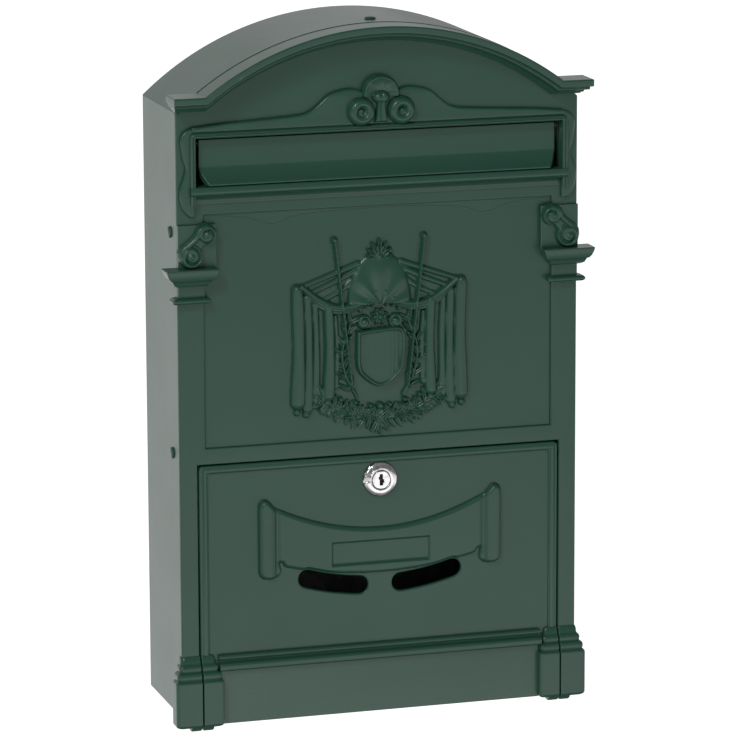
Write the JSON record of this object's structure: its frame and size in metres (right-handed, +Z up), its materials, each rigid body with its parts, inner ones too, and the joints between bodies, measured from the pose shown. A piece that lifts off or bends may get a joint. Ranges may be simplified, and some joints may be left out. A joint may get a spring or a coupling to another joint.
{
  "type": "wall mounted mailbox",
  "caption": "Arched wall mailbox: bent steel body, ornamental cast front, letter flap over the slot, drop-down door with cam lock.",
  "frame": {"origin": "middle of the four wall-fixing holes, on the rear face of the back panel, which is the wall plane", "axes": "+Z up, -Y out of the front of the mailbox, +X to the right seen from the front"},
  "size_m": [0.2594, 0.095, 0.4146],
  "materials": {
    "painted_steel": "dark green powder coat, satin, on bent steel sheet",
    "painted_casting": "dark green powder coat, satin, on cast aluminium",
    "galvanised_steel": "bare galvanised steel sheet, dull",
    "zinc_plated_steel": "zinc plated steel, semi-bright",
    "lock_chrome": "bright nickel-chrome plate"
  },
  "bodies": {
    "housing": {"body_wrap": "painted_steel", "back_panel": "galvanised_steel", "floor_pan": "galvanised_steel", "front_frame": "painted_casting", "side_rivet_left_upper": "painted_steel", "side_rivet_left_lower": "painted_steel", "side_rivet_right_upper": "painted_steel", "side_rivet_right_lower": "painted_steel", "crown_rivet": "painted_steel", "flap_rod": "zinc_plated_steel", "flap_clip_left": "zinc_plated_steel", "flap_clip_right": "zinc_plated_steel", "door_hinge_pin_left": "zinc_plated_steel", "door_hinge_pin_right": "zinc_plated_steel"},
    "flap": {"letter_flap": "painted_casting"},
    "door": {"door_panel": "painted_casting", "lock_body": "lock_chrome", "lock_washer": "zinc_plated_steel", "lock_nut": "zinc_plated_steel"},
    "lock_core": {"lock_plug": "lock_chrome", "lock_cam": "zinc_plated_steel", "cam_washer": "zinc_plated_steel", "cam_screw": "zinc_plated_steel"}
  },
  "joints": [
    {"name": "flap_lift", "type": "hinge", "parent": "housing", "child": "flap", "pos_m": [0, -0.0738, 0.1396], "axis": [-1, 0, 0], "range_deg": [0, 75]},
    {"name": "door_drop", "type": "hinge", "parent": "housing", "child": "door", "pos_m": [0, -0.0794, -0.202], "axis": [1, 0, 0], "range_deg": [0, 100]},
    {"name": "lock_turn", "type": "hinge", "parent": "door", "child": "lock_core", "pos_m": [0, -0.07, -0.0646], "axis": [0, -1, 0], "range_deg": [0, 90]}
  ]
}
